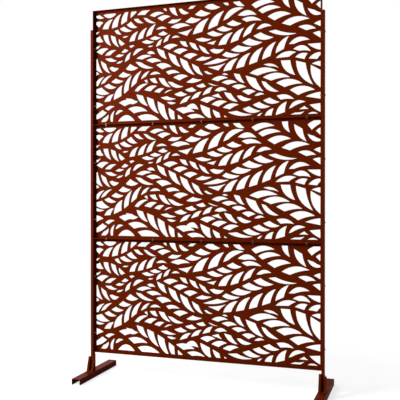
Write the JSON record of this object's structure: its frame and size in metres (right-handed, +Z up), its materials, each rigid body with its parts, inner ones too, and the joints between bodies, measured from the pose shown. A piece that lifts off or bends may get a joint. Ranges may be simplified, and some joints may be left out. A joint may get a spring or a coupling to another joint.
{
  "type": "privacy screen",
  "caption": "Free-standing privacy screen of laser cut metal panels with a leaf pattern, bolted between side posts on channel feet.",
  "frame": {"origin": "on the floor, midway between the two feet and midway along their length", "axes": "+X to the viewer's right across the width, +Y away from the viewer, +Z up"},
  "size_m": [1.259, 0.42, 1.93],
  "materials": {
    "powder_coat": "satin",
    "zinc": "satin"
  },
  "bodies": {
    "root": {"panel_bottom": "powder_coat", "panel_middle": "powder_coat", "panel_top": "powder_coat", "post_left_lower": "powder_coat", "post_left_upper": "powder_coat", "post_right_lower": "powder_coat", "post_right_upper": "powder_coat", "post_splice_left": "zinc", "post_splice_right": "zinc", "foot_left": "powder_coat", "foot_right": "powder_coat", "foot_bracket_left": "powder_coat", "foot_bracket_right": "powder_coat", "joint_bolts_lower": "zinc", "joint_bolts_upper": "zinc", "joint_nuts_lower": "zinc", "joint_nuts_upper": "zinc", "side_bolts_left": "zinc", "side_bolts_right": "zinc", "side_nuts_left": "zinc", "side_nuts_right": "zinc", "bracket_bolt_left": "zinc", "bracket_bolt_right": "zinc", "bracket_nut_left": "zinc", "bracket_nut_right": "zinc", "foot_bolt_left": "zinc", "foot_bolt_right": "zinc", "foot_nut_left": "zinc", "foot_nut_right": "zinc"}
  },
  "joints": []
}
